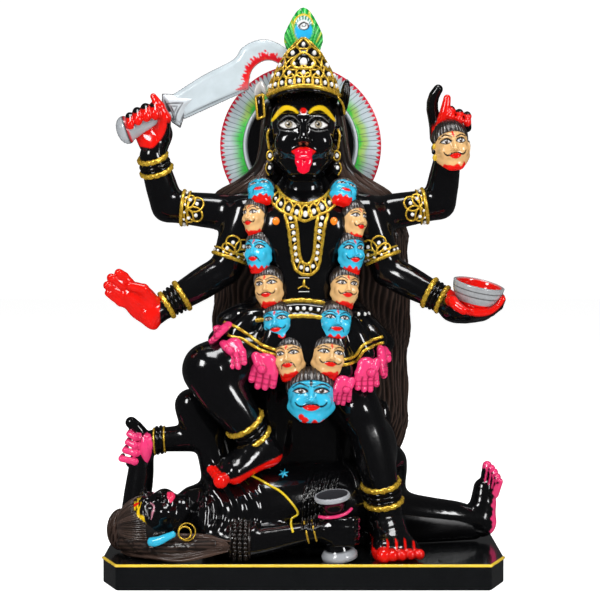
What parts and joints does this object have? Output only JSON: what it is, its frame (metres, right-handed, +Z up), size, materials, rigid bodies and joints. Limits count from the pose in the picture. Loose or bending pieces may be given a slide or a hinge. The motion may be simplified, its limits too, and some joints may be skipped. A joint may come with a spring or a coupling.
{
  "type": "kali figure",
  "caption": "Standing four-armed goddess with sword, bowl, garland of heads and halo, one foot on a lying figure, on a low plinth, carved in one piece.",
  "frame": {"origin": "middle of the plinth's underside", "axes": "+Z up to the feather on the crown, -Y to the front, +X to the standing figure's left hand"},
  "size_m": [0.424, 0.19, 0.61],
  "materials": {
    "black_stone": "black paint under clear gloss lacquer on carved marble",
    "gold_paint": "gold paint on raised lines",
    "silver_paint": "silver paint",
    "red_paint": "glossy red paint",
    "pink_paint": "glossy pink paint",
    "blue_paint": "glossy sky blue paint",
    "skin_paint": "glossy cream paint",
    "brown_hair": "dark brown paint, satin",
    "white_paint": "pale grey white paint",
    "green_paint": "green and blue feather paint"
  },
  "bodies": {
    "root": {"kali_figure": "black_stone"}
  },
  "joints": []
}
